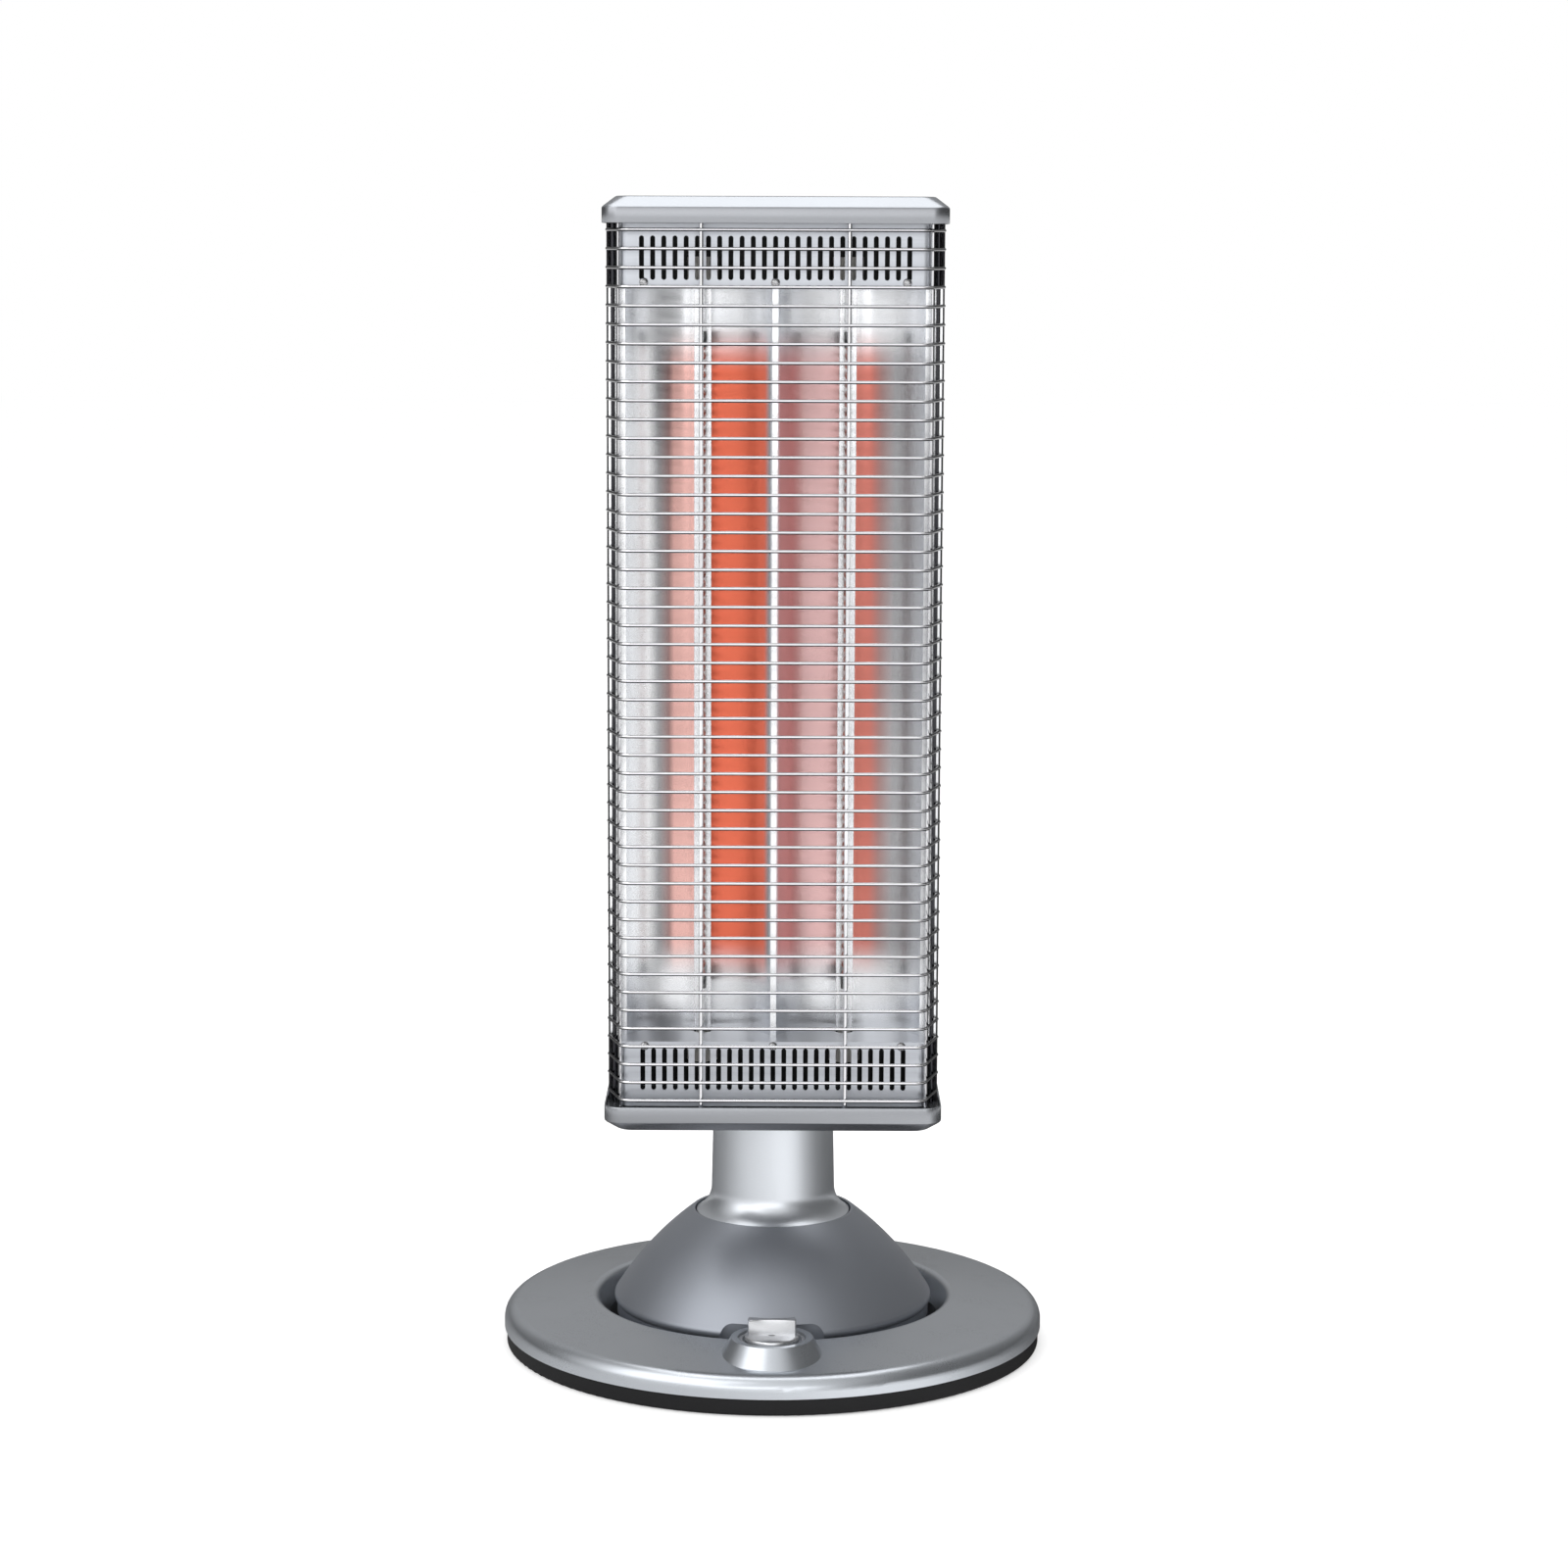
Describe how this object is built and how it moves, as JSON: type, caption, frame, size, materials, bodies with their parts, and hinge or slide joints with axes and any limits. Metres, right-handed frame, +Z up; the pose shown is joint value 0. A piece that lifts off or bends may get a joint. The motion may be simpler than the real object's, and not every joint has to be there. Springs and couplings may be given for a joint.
{
  "type": "carbon heater",
  "caption": "free-standing carbon heater with a guarded twin-tube radiant head that turns, swings and tilts on a tapered column over a round weighted base with a rotary control",
  "frame": {"origin": "on the floor under the middle of the round base", "axes": "+Z up; the radiant front of the head looks along -Y; +X to the right seen from the front"},
  "size_m": [0.33, 0.33, 0.6954],
  "materials": {
    "base_silver": "metallic silver paint",
    "dome_silver": "metallic silver paint",
    "column_silver": "satin silver paint",
    "cap_silver": "satin silver paint",
    "case_silver": "satin silver paint",
    "cover_silver": "satin silver paint",
    "knob_silver": "metallic silver",
    "black_plastic": "moulded, matt",
    "black_rubber": "matt",
    "cast_weight": "rough cast",
    "sheet_steel": "zinc plated",
    "screw_steel": "plated",
    "bush_brass": "turned",
    "wire_chrome": "chrome plated",
    "mirror_sheet": "polished",
    "quartz": "clear",
    "carbon": "glowing carbon",
    "clamp_metal": "dark oxide",
    "lead_metal": "bright wire",
    "white_ceramic": "unglazed ceramic"
  },
  "bodies": {
    "base": {"base_pan": "black_plastic", "base_cover": "base_silver", "ballast_ring": "cast_weight", "rubber_feet": "black_rubber", "base_screws": "screw_steel", "dial_bezel": "knob_silver", "rotary_switch": "black_plastic", "tip_switch_housing": "black_plastic", "tip_spring": "sheet_steel", "cord_gland": "black_rubber", "terminal_block": "black_plastic", "tilt_bracket": "sheet_steel"},
    "knob": {"control_knob": "knob_silver", "knob_spindle": "sheet_steel"},
    "plunger": {"tip_plunger": "black_plastic"},
    "dome": {"dome_shell": "dome_silver", "dome_frame": "sheet_steel", "tilt_axle": "sheet_steel", "friction_washers": "black_plastic", "tilt_nuts": "sheet_steel", "dome_screws": "screw_steel", "swing_bush": "bush_brass", "swing_motor": "black_plastic", "motor_posts": "sheet_steel"},
    "crank": {"swing_crank": "black_plastic"},
    "column": {"column_front": "column_silver", "column_rear": "column_silver", "column_tube": "sheet_steel", "swing_spindle": "sheet_steel", "swing_arm": "sheet_steel", "spindle_clip": "sheet_steel", "stop_plate": "black_plastic"},
    "head": {"rear_case": "case_silver", "pivot_plate": "sheet_steel", "pivot_shaft": "sheet_steel", "thrust_washer": "black_plastic", "pivot_clip": "sheet_steel", "thermal_cutout": "black_plastic", "reflector": "mirror_sheet", "upper_vent_cover": "cover_silver", "lower_vent_cover": "cover_silver", "vent_screws": "screw_steel", "top_cap": "cap_silver", "bottom_cap": "cap_silver", "guard_cross_wires": "wire_chrome", "guard_uprights": "wire_chrome", "quartz_tube_left": "quartz", "quartz_tube_right": "quartz", "carbon_element_left": "carbon", "carbon_element_right": "carbon", "element_clamps": "clamp_metal", "element_leads": "lead_metal", "ceramic_sockets": "white_ceramic"}
  },
  "joints": [
    {"name": "tilt", "type": "hinge", "parent": "base", "child": "dome", "pos_m": [0, 0, 0.04], "axis": [-1, 0, 0], "range_deg": [0, 7]},
    {"name": "swing", "type": "hinge", "parent": "dome", "child": "column", "pos_m": [0, 0, 0.0756], "axis": [0, 0, 1], "range_deg": [-35, 35]},
    {"name": "crank_turn", "type": "hinge", "parent": "dome", "child": "crank", "pos_m": [0, 0.03, 0.056], "axis": [0, 0, 1], "range_deg": [-90, 90]},
    {"name": "head_turn", "type": "hinge", "parent": "column", "child": "head", "pos_m": [0, -0.04, 0.4254], "axis": [0, 1, 0], "range_deg": [0, 90]},
    {"name": "knob_turn", "type": "hinge", "parent": "base", "child": "knob", "pos_m": [0, -0.125, 0.036], "axis": [0, 0, -1], "range_deg": [-135, 135]},
    {"name": "plunger_drop", "type": "slide", "parent": "base", "child": "plunger", "axis": [0, 0, -1], "range_m": [0, 0.006], "stiffness_N_per_m": 80, "springref_m": 0.009, "deforming": ["tip_spring"]}
  ],
  "couplings": [
    {"joint": "crank_turn", "follows": "swing", "ratio": 2.57}
  ]
}
